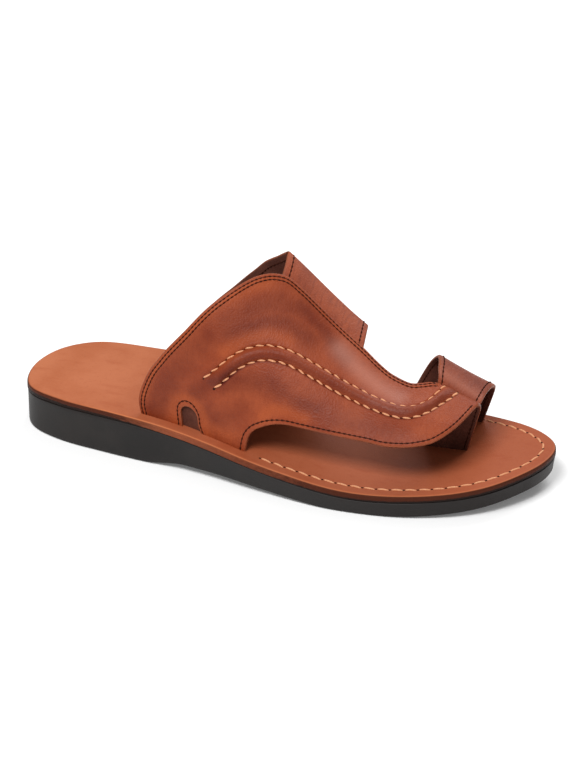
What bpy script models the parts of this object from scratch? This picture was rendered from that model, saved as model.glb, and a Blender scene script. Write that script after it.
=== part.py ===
"""Toe loop sandal for a right foot.

A moulded rubber unit sole, a leather footbed, a broad instep strap of two crossing leather bands and a big
toe loop. Metres, +Z up, +X to the toes, +Y to the inner side of the foot. The origin is on the floor, below
the middle of the sole's outline. The tables give places from the heel: along as a share of LENGTH, and across
from the heel's centre line.
"""

from collections import namedtuple
from math import pi

import bmesh
import bpy
import numpy as np

# Sole and footbed
LENGTH = 0.290
BALL_WIDTH = 0.1025
HEEL_RISE = 0.0258  # floor to the footbed's top at the heel
BALL_RISE = 0.0136  # the same at the ball of the foot
TOE_RISE = 0.0205  # the same at the tip
ARCH_LIFT = 0.0034  # floor to rubber in front of the heel
TOE_SPRING = 0.0078  # floor to rubber at the tip
FOOTBED = 0.0040
EDGE_ROUND = 0.0016  # rounding of the footbed's top edge
SOLE_TAPER = 0.0024  # how far the rubber's foot draws in from its top, at most
SOLE_BEVEL = 0.0010

# Straps
INSTEP_HEIGHT = 0.107  # floor to the top of the instep band's back edge
WALL = 0.0024  # outer leather and lining
LINING = 0.0009
STRAP_MARGIN = 0.0068  # footbed edge to the outer band
SLOT_FLOOR = 0.0016  # footbed leather left under a strap's end
PIPING_WIDTH = 0.0076
PIPING_HEIGHT = 0.0021
NOTCH_WIDTH = 0.0102
NOTCH_HEIGHT = 0.0130
NOTCH_LEAN = 0.0014  # how far back its top leans
FOLD_RADIUS = 0.0011  # inside, where the outer band's end turns down between the toes
LOOP_SPAN = 0.0310  # toe loop from side to side
LOOP_HEIGHT = 0.0460  # toe loop above the footbed

# Fits
FIT_GAP = 0.0003
JOIN_SINK = 0.0004  # how deep one band sinks into the other where they are sewn together

# Mesh density
RING_POINTS = 112
RIB_STEPS = 3  # rows for each row of a table
PANEL_COLUMNS = 6  # across the outer band, between its back edge and the piping
PIPING_COLUMNS = 7
LOWER_COLUMNS = 5  # between the piping and the lower edge
INNER_COLUMNS = 13
LOOP_COLUMNS = 7
FOLD_ROWS = 4
DROP_ROWS = 4
NOTCH_ROWS = 8
SHARP_ANGLE = 0.7  # radians

# Half widths of the footbed as shares of BALL_WIDTH, at every tenth of a half turn from the heel tip
Half = namedtuple("Half", "inner outer")
OUTLINE = [
    Half(0.215, 0.216),
    Half(0.338, 0.322),
    Half(0.366, 0.367),
    Half(0.377, 0.404),
    Half(0.384, 0.487),
    Half(0.477, 0.522),
    Half(0.469, 0.465),
    Half(0.400, 0.320),
    Half(0.271, 0.095),
]
# The same shares for its two ends, across
Tips = namedtuple("Tips", "heel toe")
TIPS = Tips(0.003, 0.115)

# Footbed height: how much of the heel's and of the tip's rise over the ball is there
Bed = namedtuple("Bed", "along heel tip")
BED = [
    Bed(0.00, 0.82, 0.0),
    Bed(0.10, 0.99, 0.0),
    Bed(0.20, 1.00, 0.0),
    Bed(0.40, 0.70, 0.0),
    Bed(0.55, 0.28, 0.0),
    Bed(0.70, 0.00, 0.0),
    Bed(0.85, 0.00, 0.3),
    Bed(1.00, 0.00, 1.0),
]

# Underside: how much of ARCH_LIFT, of TOE_SPRING and of SOLE_TAPER is there
Tread = namedtuple("Tread", "along arch spring taper")
TREAD = [
    Tread(0.00, 0.0, 0.0, 0.15),
    Tread(0.27, 0.0, 0.0, 0.15),
    Tread(0.36, 1.0, 0.0, 0.45),
    Tread(0.43, 1.0, 0.0, 0.85),
    Tread(0.55, 0.5, 0.0, 1.0),
    Tread(0.65, 0.0, 0.0, 1.0),
    Tread(0.74, 0.0, 0.0, 1.0),
    Tread(0.85, 0.0, 0.25, 1.0),
    Tread(1.00, 0.0, 1.0, 0.5),
]

# Sections of the last. crest is its height as a share of INSTEP_HEIGHT and ridge its place across as a share
# of BALL_WIDTH. wall and top shape the outer side at the footbed and at the crest: 2 is an ellipse, less is
# nearer to a tent and more to a box. The inner side has one shape all along.
Section = namedtuple("Section", "along crest ridge wall top")
LAST = [
    Section(0.260, 1.450, 0.195, 2.60, 1.50),
    Section(0.372, 1.235, 0.195, 2.20, 1.45),
    Section(0.486, 1.000, 0.195, 1.75, 1.38),
    Section(0.634, 0.672, 0.195, 1.85, 1.55),
    Section(0.700, 0.570, 0.176, 2.30, 1.45),
    Section(0.745, 0.508, 0.146, 3.10, 1.50),
    Section(0.800, 0.474, 0.107, 3.50, 1.60),
    Section(0.862, 0.425, 0.088, 3.40, 1.70),
    Section(0.900, 0.395, 0.088, 3.20, 1.80),
]
Side = namedtuple("Side", "wall top")
INNER_SIDE = Side(2.0, 1.35)

# The outer band on the last. Each rib runs from the band's back and top edge to its lower edge. up is 0 at
# the footbed's outer side and 1 on the crest. piping is the raised cord's place, as a share of the rib.
Rib = namedtuple("Rib", "top_along top_up low_along low_up piping")
OUTER_BAND = [
    Rib(0.262, 0.000, 0.478, 0.000, 0.44),
    Rib(0.258, 0.034, 0.479, 0.020, 0.44),
    Rib(0.263, 0.073, 0.481, 0.045, 0.44),
    Rib(0.279, 0.132, 0.484, 0.068, 0.44),
    Rib(0.303, 0.194, 0.489, 0.088, 0.44),
    Rib(0.351, 0.323, 0.496, 0.107, 0.45),
    Rib(0.3975, 0.506, 0.505, 0.124, 0.47),
    Rib(0.448, 0.745, 0.515, 0.142, 0.54),
    Rib(0.486, 0.851, 0.528, 0.163, 0.565),
    Rib(0.520, 0.867, 0.549, 0.189, 0.553),
    Rib(0.574, 0.855, 0.585, 0.219, 0.533),
    Rib(0.637, 0.835, 0.650, 0.269, 0.528),
    Rib(0.678, 0.807, 0.700, 0.304, 0.525),
    Rib(0.705, 0.795, 0.745, 0.332, 0.515),
    Rib(0.738, 0.817, 0.789, 0.367, 0.495),
    Rib(0.757, 0.862, 0.822, 0.437, 0.44),
    Rib(0.770, 0.900, 0.847, 0.600, 0.37),
    Rib(0.778, 0.905, 0.863, 0.880, 0.36),
]

# The piping's two ends and over how much it rises and falls there, in ribs
Ends = namedtuple("Ends", "start run_in end run_out")
PIPING = Ends(4.5, 0.6, 17.4, 1.4)

# Where the outer band's turned down end meets the footbed, as shares of LENGTH
TurnDown = namedtuple("TurnDown", "back front")
TURN_DOWN = TurnDown(0.760, 0.843)

# The notch's place, and how far its cutter goes on below the footbed's height, as a share of NOTCH_HEIGHT
Notch = namedtuple("Notch", "along reach")
NOTCH = Notch(0.3650, 0.3)

# The inner band, from under the outer one over the crest, up 1, down to the footbed's inner side, up 2
Strip = namedtuple("Strip", "up back front")
INNER_BAND = [
    Strip(0.62, 0.470, 0.655),
    Strip(0.75, 0.482, 0.648),
    Strip(0.87, 0.487, 0.644),
    Strip(1.00, 0.483, 0.637),
    Strip(1.15, 0.464, 0.628),
    Strip(1.32, 0.437, 0.612),
    Strip(1.50, 0.408, 0.590),
    Strip(1.66, 0.368, 0.566),
    Strip(1.80, 0.315, 0.543),
    Strip(1.90, 0.277, 0.528),
    Strip(2.00, 0.262, 0.515),
]

# The toe loop, from the slot between the toes over the big toe to the inner slot. across is a share of
# LOOP_SPAN, and the heights are shares of LOOP_HEIGHT above the footbed.
Turn = namedtuple("Turn", "back front across back_up front_up")
TOE_LOOP = [
    Turn(0.760, 0.843, 0.00, 0.00, 0.00),
    Turn(0.768, 0.849, 0.00, 0.34, 0.26),
    Turn(0.777, 0.857, 0.00, 0.68, 0.48),
    Turn(0.781, 0.862, 0.03, 0.83, 0.575),
    Turn(0.779, 0.864, 0.15, 0.94, 0.615),
    Turn(0.772, 0.865, 0.42, 0.983, 0.63),
    Turn(0.759, 0.866, 0.68, 0.918, 0.60),
    Turn(0.739, 0.864, 0.88, 0.75, 0.515),
    Turn(0.717, 0.857, 0.975, 0.48, 0.365),
    Turn(0.701, 0.848, 1.00, 0.24, 0.18),
    Turn(0.692, 0.839, 1.00, 0.00, 0.00),
]

TAN = (0.46, 0.13, 0.045)
SADDLE = (0.50, 0.17, 0.07)
RUBBER = (0.035, 0.032, 0.030)


def eased(table, column, along):
    """A column of a table at these shares of the length, on a smooth curve that never overshoots its rows."""
    xs = np.array([row.along for row in table])
    ys = np.array([getattr(row, column) for row in table])
    rise = np.diff(ys) / np.diff(xs)
    slope = np.concatenate([rise[:1], np.zeros(len(xs) - 2), rise[-1:]])
    same = rise[:-1] * rise[1:] > 0
    slope[1:-1][same] = 2 * (rise[:-1] * rise[1:])[same] / (rise[:-1] + rise[1:])[same]
    at = np.clip(along, xs[0], xs[-1])
    i = np.clip(np.searchsorted(xs, at) - 1, 0, len(xs) - 2)
    step = xs[i + 1] - xs[i]
    t = (at - xs[i]) / step
    start = (1 + 2 * t) * (1 - t) ** 2 * ys[i] + t * (1 - t) ** 2 * step * slope[i]
    return start + t * t * (3 - 2 * t) * ys[i + 1] + t * t * (t - 1) * step * slope[i + 1]


def curve(a, b, c, d, t):
    """The Catmull-Rom curve through four values, at the share `t` of the way from b to c."""
    bend = 2 * a - 5 * b + 4 * c - d
    twist = 3 * b - a - 3 * c + d
    return 0.5 * (2 * b + (c - a) * t + bend * t**2 + twist * t**3)


def through(rows, steps):
    """The places of a table's rows, `steps` for each given one, and those rows on smooth curves."""
    rows = np.array(rows, float)
    padded = np.vstack([2 * rows[0] - rows[1], rows, 2 * rows[-1] - rows[-2]])
    at = np.linspace(0, len(rows) - 1, (len(rows) - 1) * steps + 1)
    i = np.minimum(at.astype(int), len(rows) - 2)
    return at, curve(*(padded[i + k] for k in range(4)), (at - i)[:, None])


def outline_across(turn):
    """The footbed's edge at `turn`: 0 is the heel tip, 10 the toe tip, and between them is the inner side."""
    inner = [half.inner for half in OUTLINE]
    outer = [-half.outer for half in reversed(OUTLINE)]
    ring = np.array([TIPS.heel, *inner, TIPS.toe, *outer]) * BALL_WIDTH
    turn = np.mod(turn, len(ring))
    i = np.floor(turn).astype(int)
    return curve(*(ring[(i + k) % len(ring)] for k in (-1, 0, 1, 2)), turn - i)


def edge_across(along, inner):
    turn = np.arccos(1 - 2 * np.clip(along, 0, 1)) / pi * (len(OUTLINE) + 1)
    return outline_across(turn if inner else -turn)


def bed_height(along):
    heel = eased(BED, "heel", along) * (HEEL_RISE - BALL_RISE)
    return BALL_RISE + heel + eased(BED, "tip", along) * (TOE_RISE - BALL_RISE)


def tread_height(along):
    return eased(TREAD, "arch", along) * ARCH_LIFT + eased(TREAD, "spring", along) * TOE_SPRING


def sole_taper(along):
    return eased(TREAD, "taper", along) * SOLE_TAPER


def last_point(along, up):
    """A point of the last: up is 0 at the footbed's outer side, 1 on the crest and 2 at its inner side."""
    along, up = np.broadcast_arrays(np.asarray(along, float), np.asarray(up, float))
    outer = up < 1
    foot = bed_height(along)
    ridge = eased(LAST, "ridge", along) * BALL_WIDTH
    rise = eased(LAST, "crest", along) * INSTEP_HEIGHT - foot
    outer_half = ridge - edge_across(along, False) - STRAP_MARGIN - WALL
    inner_half = edge_across(along, True) - STRAP_MARGIN - WALL - ridge
    angle = np.where(outer, up, 2 - up) * pi / 2
    wall = np.where(outer, eased(LAST, "wall", along), INNER_SIDE.wall)
    top = np.where(outer, eased(LAST, "top", along), INNER_SIDE.top)
    power = wall + (top - wall) * np.sin(angle) ** 2
    width, height = np.abs(np.cos(angle)), np.abs(np.sin(angle))
    reach = (width**power + height**power) ** (-1 / power)
    across = ridge + np.where(outer, -outer_half, inner_half) * reach * width
    return np.stack([along * LENGTH, across, foot + rise * reach * height * np.sign(angle)], axis=-1)


def normals_of(grid):
    """Unit normals of a grid of points, on the side that the cross product of rows and columns points to."""
    normal = np.cross(np.gradient(grid, axis=0), np.gradient(grid, axis=1))
    return normal / np.linalg.norm(normal, axis=-1, keepdims=True)


def origin_shift():
    """What moves the heel's frame to the middle of the sole's outline."""
    across = outline_across(np.linspace(0, 2 * (len(OUTLINE) + 1), 400))
    return np.array([-LENGTH / 2, -(across.max() + across.min()) / 2, 0.0])


def mesh_object(name, points, faces, material):
    mesh = bpy.data.meshes.new(name)
    mesh.from_pydata([tuple(p) for p in points], [], faces)
    shaped = bmesh.new()
    shaped.from_mesh(mesh)
    bmesh.ops.recalc_face_normals(shaped, faces=shaped.faces)
    shaped.to_mesh(mesh)
    shaped.free()
    mesh.shade_smooth()
    mesh.set_sharp_from_angle(angle=SHARP_ANGLE)
    if material:
        mesh.materials.append(material)
    obj = bpy.data.objects.new(name, mesh)
    obj.location = origin_shift()
    bpy.context.scene.collection.objects.link(obj)
    return obj


def shell_object(name, face, back, material=None):
    """A closed sheet between two grids of points of the same shape."""
    rows, cols = face.shape[:2]
    count = rows * cols
    faces = []
    for i in range(rows - 1):
        for j in range(cols - 1):
            quad = (i * cols + j, i * cols + j + 1, (i + 1) * cols + j + 1, (i + 1) * cols + j)
            faces += [quad, tuple(count + k for k in reversed(quad))]
    rim = list(range(cols))
    rim += [i * cols + cols - 1 for i in range(1, rows)]
    rim += [(rows - 1) * cols + j for j in range(cols - 2, -1, -1)]
    rim += [i * cols for i in range(rows - 2, 0, -1)]
    for a, b in zip(rim, rim[1:] + rim[:1]):
        faces.append((a, b, count + b, count + a))
    return mesh_object(name, np.concatenate([face.reshape(-1, 3), back.reshape(-1, 3)]), faces, material)


def outline_ring(inset):
    """The footbed's outline, drawn in by `inset`, which is a number or depends on along."""
    turn = np.arange(RING_POINTS) * 2 * (len(OUTLINE) + 1) / RING_POINTS
    along = (1 - np.cos(turn * pi / (len(OUTLINE) + 1))) / 2
    ring = np.stack([along * LENGTH, outline_across(turn)], axis=-1)
    way = np.roll(ring, -1, axis=0) - np.roll(ring, 1, axis=0)
    way /= np.linalg.norm(way, axis=1, keepdims=True)
    drawn_in = (inset(along) if callable(inset) else inset) + 0 * along
    return ring + drawn_in[:, None] * np.stack([way[:, 1], -way[:, 0]], axis=-1)


def slab_object(name, levels, material):
    """A closed slab of the sole's outline. Each level, from below, has an inset and a height over along."""
    rings = []
    for inset, height in levels:
        ring = outline_ring(inset)
        rings.append(np.column_stack([ring, height(np.clip(ring[:, 0] / LENGTH, 0, 1))]))
    faces = []
    for k in range(len(levels) - 1):
        for i in range(RING_POINTS):
            j = (i + 1) % RING_POINTS
            low, high = k * RING_POINTS, (k + 1) * RING_POINTS
            faces.append((low + i, low + j, high + j, high + i))
    for start in (0, (len(levels) - 1) * RING_POINTS):
        for i in range(RING_POINTS // 2):
            near, far = start + i, start + (RING_POINTS - i) % RING_POINTS
            corners = (near, near + 1, start + RING_POINTS - i - 1, far)
            faces.append(tuple(dict.fromkeys(corners)))
    return mesh_object(name, np.concatenate(rings), faces, material)


def cut(target, cutter):
    modifier = target.modifiers.new(cutter.name, "BOOLEAN")
    modifier.operation = "DIFFERENCE"
    modifier.object = cutter
    hide(cutter)


def join(target, other):
    modifier = target.modifiers.new(other.name, "BOOLEAN")
    modifier.operation = "UNION"
    modifier.object = other
    hide(other)


def hide(helper):
    helper.hide_render = True
    helper.display_type = "WIRE"


def material(name, colour, roughness):
    made = bpy.data.materials.new(name)
    made.use_nodes = True
    made.diffuse_color = (*colour, 1)
    shader = made.node_tree.nodes["Principled BSDF"]
    shader.inputs["Base Color"].default_value = (*colour, 1)
    shader.inputs["Roughness"].default_value = roughness
    shader.inputs["Metallic"].default_value = 0.0
    return made


def slot_bottom(along):
    return bed_height(along) - FOOTBED + SLOT_FLOOR


def seated(rows, along, sign=1):
    """Adds the row that stands in the footbed's slot, below the first row (sign 1) or the last (sign -1)."""
    foot = (rows[0] if sign > 0 else rows[-1]).copy()
    foot[:, 2] = slot_bottom(along)
    return np.concatenate([foot[None], rows] if sign > 0 else [rows, foot[None]])


def slot_cutter(name, one, other):
    """What cuts a strap's slot in the footbed: one and other are the lines of the strap's two faces there."""
    lines = []
    for line, away in ((one, other), (other, one)):
        side = (line - away) * (1, 1, 0)
        side /= np.linalg.norm(side, axis=1, keepdims=True)
        line = line + side * FIT_GAP
        start, end = line[0] - line[1], line[-1] - line[-2]
        line[0] += start / np.linalg.norm(start) * FIT_GAP
        line[-1] += end / np.linalg.norm(end) * FIT_GAP
        along = line[:, 0] / LENGTH
        low, high = line.copy(), line.copy()
        low[:, 2] = slot_bottom(along) - FIT_GAP
        high[:, 2] = bed_height(along) + FOOTBED
        lines.append(np.stack([low, high]))
    return shell_object(name, *lines)


def outer_band_grids():
    """The outer band's face and back, from the outer slot to the end turned down between the toes, and where
    across the sole that end's face is."""
    place, ribs = through(OUTER_BAND, RIB_STEPS)
    ends = [last_point(ribs[:, 0], ribs[:, 1]), last_point(ribs[:, 2], ribs[:, 3])]
    rib_length = np.linalg.norm(ends[1] - ends[0], axis=1)
    half = PIPING_WIDTH / 2 / rib_length
    middle = ribs[:, 4]
    columns = np.concatenate(
        [
            np.linspace(np.zeros_like(half), middle - half, PANEL_COLUMNS),
            np.linspace(middle - half, middle + half, PIPING_COLUMNS)[1:-1],
            np.linspace(middle + half, np.ones_like(half), LOWER_COLUMNS),
        ]
    ).T
    along = ribs[:, :1] + (ribs[:, 2:3] - ribs[:, :1]) * columns
    up = ribs[:, 1:2] + (ribs[:, 3:4] - ribs[:, 1:2]) * columns
    back = last_point(along, up)
    face = back + WALL * -normals_of(back)
    foot_along = along[0]
    face, back = seated(face, foot_along), seated(back, foot_along)

    end = face[-1]
    seam = end[:, 1].max() + WALL + FOLD_RADIUS
    drop = seam - end[:, 1]
    share = (end[:, 0] - end[0, 0]) / (end[-1, 0] - end[0, 0])
    foot_x = (TURN_DOWN.back + (TURN_DOWN.front - TURN_DOWN.back) * share) * LENGTH
    foot_z = bed_height(foot_x / LENGTH)
    centre = end - np.column_stack([0 * drop, 0 * drop, drop])
    inner = np.maximum(drop - WALL, 0)
    fold, fold_back = [], []
    for angle in np.linspace(0, pi / 2, FOLD_ROWS + 1)[1:]:
        for rows, radius in ((fold, drop), (fold_back, inner)):
            rows.append(centre + np.column_stack([0 * drop, radius * np.sin(angle), radius * np.cos(angle)]))
    for share_down in np.linspace(0, 1, DROP_ROWS + 1)[1:]:
        for rows in (fold, fold_back):
            top = rows[FOLD_ROWS - 1]
            row = top.copy()
            row[:, 0] += (foot_x - top[:, 0]) * share_down
            row[:, 2] += (foot_z - top[:, 2]) * share_down
            rows.append(row)
    face = seated(np.concatenate([face, fold]), foot_x / LENGTH, -1)
    back = seated(np.concatenate([back, fold_back]), foot_x / LENGTH, -1)

    shift = (columns - middle[:, None]) / half[:, None]
    bump = np.where(np.abs(shift) < 1, np.cos(shift * pi / 2), 0) * PIPING_HEIGHT
    bump *= np.clip((place - PIPING.start) / PIPING.run_in, 0, 1)[:, None]
    bump *= np.clip((PIPING.end - place) / PIPING.run_out, 0, 1)[:, None]
    tail = np.linspace(1, 0, FOLD_ROWS + 1)[1:, None] * bump[-1]
    bump = np.concatenate([0 * bump[:1], bump, tail, np.zeros((DROP_ROWS + 1, bump.shape[1]))])
    face = face - normals_of(face) * bump[..., None]
    return face, back, seam


def inner_band_grids():
    _, strips = through(INNER_BAND, RIB_STEPS)
    width = np.linspace(0, 1, INNER_COLUMNS)
    along = strips[:, 1:2] + (strips[:, 2:3] - strips[:, 1:2]) * width
    surface = last_point(along, strips[:, :1] + 0 * along)
    out = -normals_of(surface)
    face, back = surface + JOIN_SINK * out, surface - (WALL - JOIN_SINK) * out
    return seated(face, along[-1], -1), seated(back, along[-1], -1)


def toe_loop_grids(seam):
    _, turns = through(TOE_LOOP, RIB_STEPS)
    width = np.linspace(0, 1, LOOP_COLUMNS)
    along = turns[:, :1] + (turns[:, 1:2] - turns[:, :1]) * width
    up = turns[:, 3:4] + (turns[:, 4:5] - turns[:, 3:4]) * width
    across = seam + FIT_GAP + turns[:, 2:3] * LOOP_SPAN + 0 * along
    face = np.stack([along * LENGTH, across, bed_height(along) + up * LOOP_HEIGHT], axis=-1)
    back = face + WALL * normals_of(face)
    face, back = seated(face, along[0]), seated(back, along[0])
    return seated(face, along[-1], -1), seated(back, along[-1], -1)


def notch_cutter():
    """Cuts the arched notch through the outer leather at the outer band's foot, down to the lining."""
    climb = np.linspace(0, 0.4, 80)
    heights = last_point(NOTCH.along, climb)[:, 2] - bed_height(NOTCH.along)
    arch = NOTCH_WIDTH / 2 / NOTCH_HEIGHT
    turn = np.linspace(0, 0.95, NOTCH_ROWS) * pi / 2
    share = np.concatenate([[-NOTCH.reach], 1 - arch + arch * np.sin(turn)])
    up = np.interp(share * NOTCH_HEIGHT, heights, climb)
    up[0] = -up[1]
    half = NOTCH_WIDTH / 2 / LENGTH * np.concatenate([[1], np.cos(turn)])
    middle = NOTCH.along - NOTCH_LEAN / LENGTH * share
    along = middle[:, None] + half[:, None] * np.linspace(-1, 1, 7)
    back = last_point(along, up[:, None] + 0 * along)
    out = -normals_of(back)
    return shell_object("notch_cutter", back + (WALL + LINING) * out, back + LINING * out)


def main():
    for obj in list(bpy.data.objects):
        bpy.data.objects.remove(obj, do_unlink=True)

    leather = material("pull-up leather", TAN, 0.45)
    slab_object(
        "outsole",
        [
            (lambda along: sole_taper(along) + SOLE_BEVEL, tread_height),
            (sole_taper, lambda along: tread_height(along) + SOLE_BEVEL),
            (FIT_GAP, lambda along: bed_height(along) - FOOTBED - FIT_GAP - SOLE_BEVEL),
            (SOLE_BEVEL, lambda along: bed_height(along) - FOOTBED - FIT_GAP),
        ],
        material("sole rubber", RUBBER, 0.5),
    )
    insole = slab_object(
        "insole",
        [
            (FIT_GAP, lambda along: bed_height(along) - FOOTBED),
            (0.0, lambda along: bed_height(along) - FOOTBED + FIT_GAP),
            (0.0, lambda along: bed_height(along) - EDGE_ROUND),
            (EDGE_ROUND * 0.3, lambda along: bed_height(along) - EDGE_ROUND * 0.3),
            (EDGE_ROUND, bed_height),
        ],
        material("saddle leather", SADDLE, 0.5),
    )

    outer_face, outer_back, seam = outer_band_grids()
    inner_face, inner_back = inner_band_grids()
    loop_face, loop_back = toe_loop_grids(seam)
    upper = shell_object("upper", outer_face, outer_back, leather)
    join(upper, shell_object("inner_band", inner_face, inner_back))
    cut(upper, notch_cutter())
    shell_object("toe_loop", loop_face, loop_back, leather)

    cut(insole, slot_cutter("outer_slot", outer_face[0], outer_back[0]))
    cut(insole, slot_cutter("inner_slot", inner_face[-1], inner_back[-1]))
    turned_down = loop_back[0].copy()
    turned_down[:, 1] = seam - WALL
    cut(insole, slot_cutter("toe_slot", turned_down, loop_back[0]))
    cut(insole, slot_cutter("loop_slot", loop_face[-1], loop_back[-1]))


main()
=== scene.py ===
"""Looks of the toe loop sandal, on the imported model: leather straps with linings, stitches, footbed and unit sole.

Metres, +Z up, +X to the toes, +Y to the inner side of the foot. The tables give places from the heel, as the part's
source does: along as a share of LENGTH, across from the heel's centre line.
"""

from collections import namedtuple
from math import pi, radians, sin, cos

import bmesh
import bpy
import numpy as np
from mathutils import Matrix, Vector


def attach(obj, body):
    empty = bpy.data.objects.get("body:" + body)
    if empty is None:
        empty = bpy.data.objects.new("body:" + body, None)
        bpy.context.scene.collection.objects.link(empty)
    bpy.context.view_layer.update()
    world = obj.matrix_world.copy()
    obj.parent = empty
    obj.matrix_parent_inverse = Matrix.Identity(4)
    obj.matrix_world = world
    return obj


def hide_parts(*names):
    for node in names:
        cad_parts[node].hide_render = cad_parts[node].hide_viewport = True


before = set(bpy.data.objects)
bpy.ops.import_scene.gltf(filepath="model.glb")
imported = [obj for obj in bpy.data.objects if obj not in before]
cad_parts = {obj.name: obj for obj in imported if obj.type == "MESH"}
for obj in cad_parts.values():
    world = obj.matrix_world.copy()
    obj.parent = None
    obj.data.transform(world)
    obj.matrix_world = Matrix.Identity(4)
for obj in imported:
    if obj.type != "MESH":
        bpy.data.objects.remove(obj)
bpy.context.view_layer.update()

# Sole and footbed, as in the part's source
LENGTH = 0.290
BALL_WIDTH = 0.1025
HEEL_RISE = 0.0258
BALL_RISE = 0.0136
TOE_RISE = 0.0205
ARCH_LIFT = 0.0034
TOE_SPRING = 0.0078
FOOTBED = 0.0040
EDGE_ROUND = 0.0016
SOLE_TAPER = 0.0024
SOLE_BEVEL = 0.0010

# Straps, as in the part's source
INSTEP_HEIGHT = 0.107
WALL = 0.0024
LINING = 0.0009
STRAP_MARGIN = 0.0068
SLOT_FLOOR = 0.0016
PIPING_WIDTH = 0.0076
NOTCH_WIDTH = 0.0102
NOTCH_HEIGHT = 0.0130
NOTCH_LEAN = 0.0014
FOLD_RADIUS = 0.0011
LOOP_SPAN = 0.0310
LOOP_HEIGHT = 0.0460
FIT_GAP = 0.0003

Half = namedtuple("Half", "inner outer")
OUTLINE = [
    Half(0.215, 0.216),
    Half(0.338, 0.322),
    Half(0.366, 0.367),
    Half(0.377, 0.404),
    Half(0.384, 0.487),
    Half(0.477, 0.522),
    Half(0.469, 0.465),
    Half(0.400, 0.320),
    Half(0.271, 0.095),
]
Tips = namedtuple("Tips", "heel toe")
TIPS = Tips(0.003, 0.115)

Bed = namedtuple("Bed", "along heel tip")
BED = [
    Bed(0.00, 0.82, 0.0),
    Bed(0.10, 0.99, 0.0),
    Bed(0.20, 1.00, 0.0),
    Bed(0.40, 0.70, 0.0),
    Bed(0.55, 0.28, 0.0),
    Bed(0.70, 0.00, 0.0),
    Bed(0.85, 0.00, 0.3),
    Bed(1.00, 0.00, 1.0),
]

Tread = namedtuple("Tread", "along arch spring taper")
TREAD = [
    Tread(0.00, 0.0, 0.0, 0.15),
    Tread(0.27, 0.0, 0.0, 0.15),
    Tread(0.36, 1.0, 0.0, 0.45),
    Tread(0.43, 1.0, 0.0, 0.85),
    Tread(0.55, 0.5, 0.0, 1.0),
    Tread(0.65, 0.0, 0.0, 1.0),
    Tread(0.74, 0.0, 0.0, 1.0),
    Tread(0.85, 0.0, 0.25, 1.0),
    Tread(1.00, 0.0, 1.0, 0.5),
]

Section = namedtuple("Section", "along crest ridge wall top")
LAST = [
    Section(0.260, 1.450, 0.195, 2.60, 1.50),
    Section(0.372, 1.235, 0.195, 2.20, 1.45),
    Section(0.486, 1.000, 0.195, 1.75, 1.38),
    Section(0.634, 0.672, 0.195, 1.85, 1.55),
    Section(0.700, 0.570, 0.176, 2.30, 1.45),
    Section(0.745, 0.508, 0.146, 3.10, 1.50),
    Section(0.800, 0.474, 0.107, 3.50, 1.60),
    Section(0.862, 0.425, 0.088, 3.40, 1.70),
    Section(0.900, 0.395, 0.088, 3.20, 1.80),
]
Side = namedtuple("Side", "wall top")
INNER_SIDE = Side(2.0, 1.35)

Rib = namedtuple("Rib", "top_along top_up low_along low_up piping")
OUTER_BAND = [
    Rib(0.262, 0.000, 0.478, 0.000, 0.44),
    Rib(0.258, 0.034, 0.479, 0.020, 0.44),
    Rib(0.263, 0.073, 0.481, 0.045, 0.44),
    Rib(0.279, 0.132, 0.484, 0.068, 0.44),
    Rib(0.303, 0.194, 0.489, 0.088, 0.44),
    Rib(0.351, 0.323, 0.496, 0.107, 0.45),
    Rib(0.3975, 0.506, 0.505, 0.124, 0.47),
    Rib(0.448, 0.745, 0.515, 0.142, 0.54),
    Rib(0.486, 0.851, 0.528, 0.163, 0.565),
    Rib(0.520, 0.867, 0.549, 0.189, 0.553),
    Rib(0.574, 0.855, 0.585, 0.219, 0.533),
    Rib(0.637, 0.835, 0.650, 0.269, 0.528),
    Rib(0.678, 0.807, 0.700, 0.304, 0.525),
    Rib(0.705, 0.795, 0.745, 0.332, 0.515),
    Rib(0.738, 0.817, 0.789, 0.367, 0.495),
    Rib(0.757, 0.862, 0.822, 0.437, 0.44),
    Rib(0.770, 0.900, 0.847, 0.600, 0.37),
    Rib(0.778, 0.905, 0.863, 0.880, 0.36),
]
Ends = namedtuple("Ends", "start run_in end run_out")
PIPING = Ends(4.5, 0.6, 17.4, 1.4)
TurnDown = namedtuple("TurnDown", "back front")
TURN_DOWN = TurnDown(0.760, 0.843)
Notch = namedtuple("Notch", "along flare")
NOTCH = Notch(0.3650, 0.0016)  # flare is how much wider it gets in front at its foot, for the looks alone

Strip = namedtuple("Strip", "up back front")
INNER_BAND = [
    Strip(0.62, 0.470, 0.655),
    Strip(0.75, 0.482, 0.648),
    Strip(0.87, 0.487, 0.644),
    Strip(1.00, 0.483, 0.637),
    Strip(1.15, 0.464, 0.628),
    Strip(1.32, 0.437, 0.612),
    Strip(1.50, 0.408, 0.590),
    Strip(1.66, 0.368, 0.566),
    Strip(1.80, 0.315, 0.543),
    Strip(1.90, 0.277, 0.528),
    Strip(2.00, 0.262, 0.515),
]

Turn = namedtuple("Turn", "back front across back_up front_up")
TOE_LOOP = [
    Turn(0.760, 0.843, 0.00, 0.00, 0.00),
    Turn(0.768, 0.849, 0.00, 0.34, 0.26),
    Turn(0.777, 0.857, 0.00, 0.68, 0.48),
    Turn(0.781, 0.862, 0.03, 0.83, 0.575),
    Turn(0.779, 0.864, 0.15, 0.94, 0.615),
    Turn(0.772, 0.865, 0.42, 0.983, 0.63),
    Turn(0.759, 0.866, 0.68, 0.918, 0.60),
    Turn(0.739, 0.864, 0.88, 0.75, 0.515),
    Turn(0.717, 0.857, 0.975, 0.48, 0.365),
    Turn(0.701, 0.848, 1.00, 0.24, 0.18),
    Turn(0.692, 0.839, 1.00, 0.00, 0.00),
]

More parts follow.
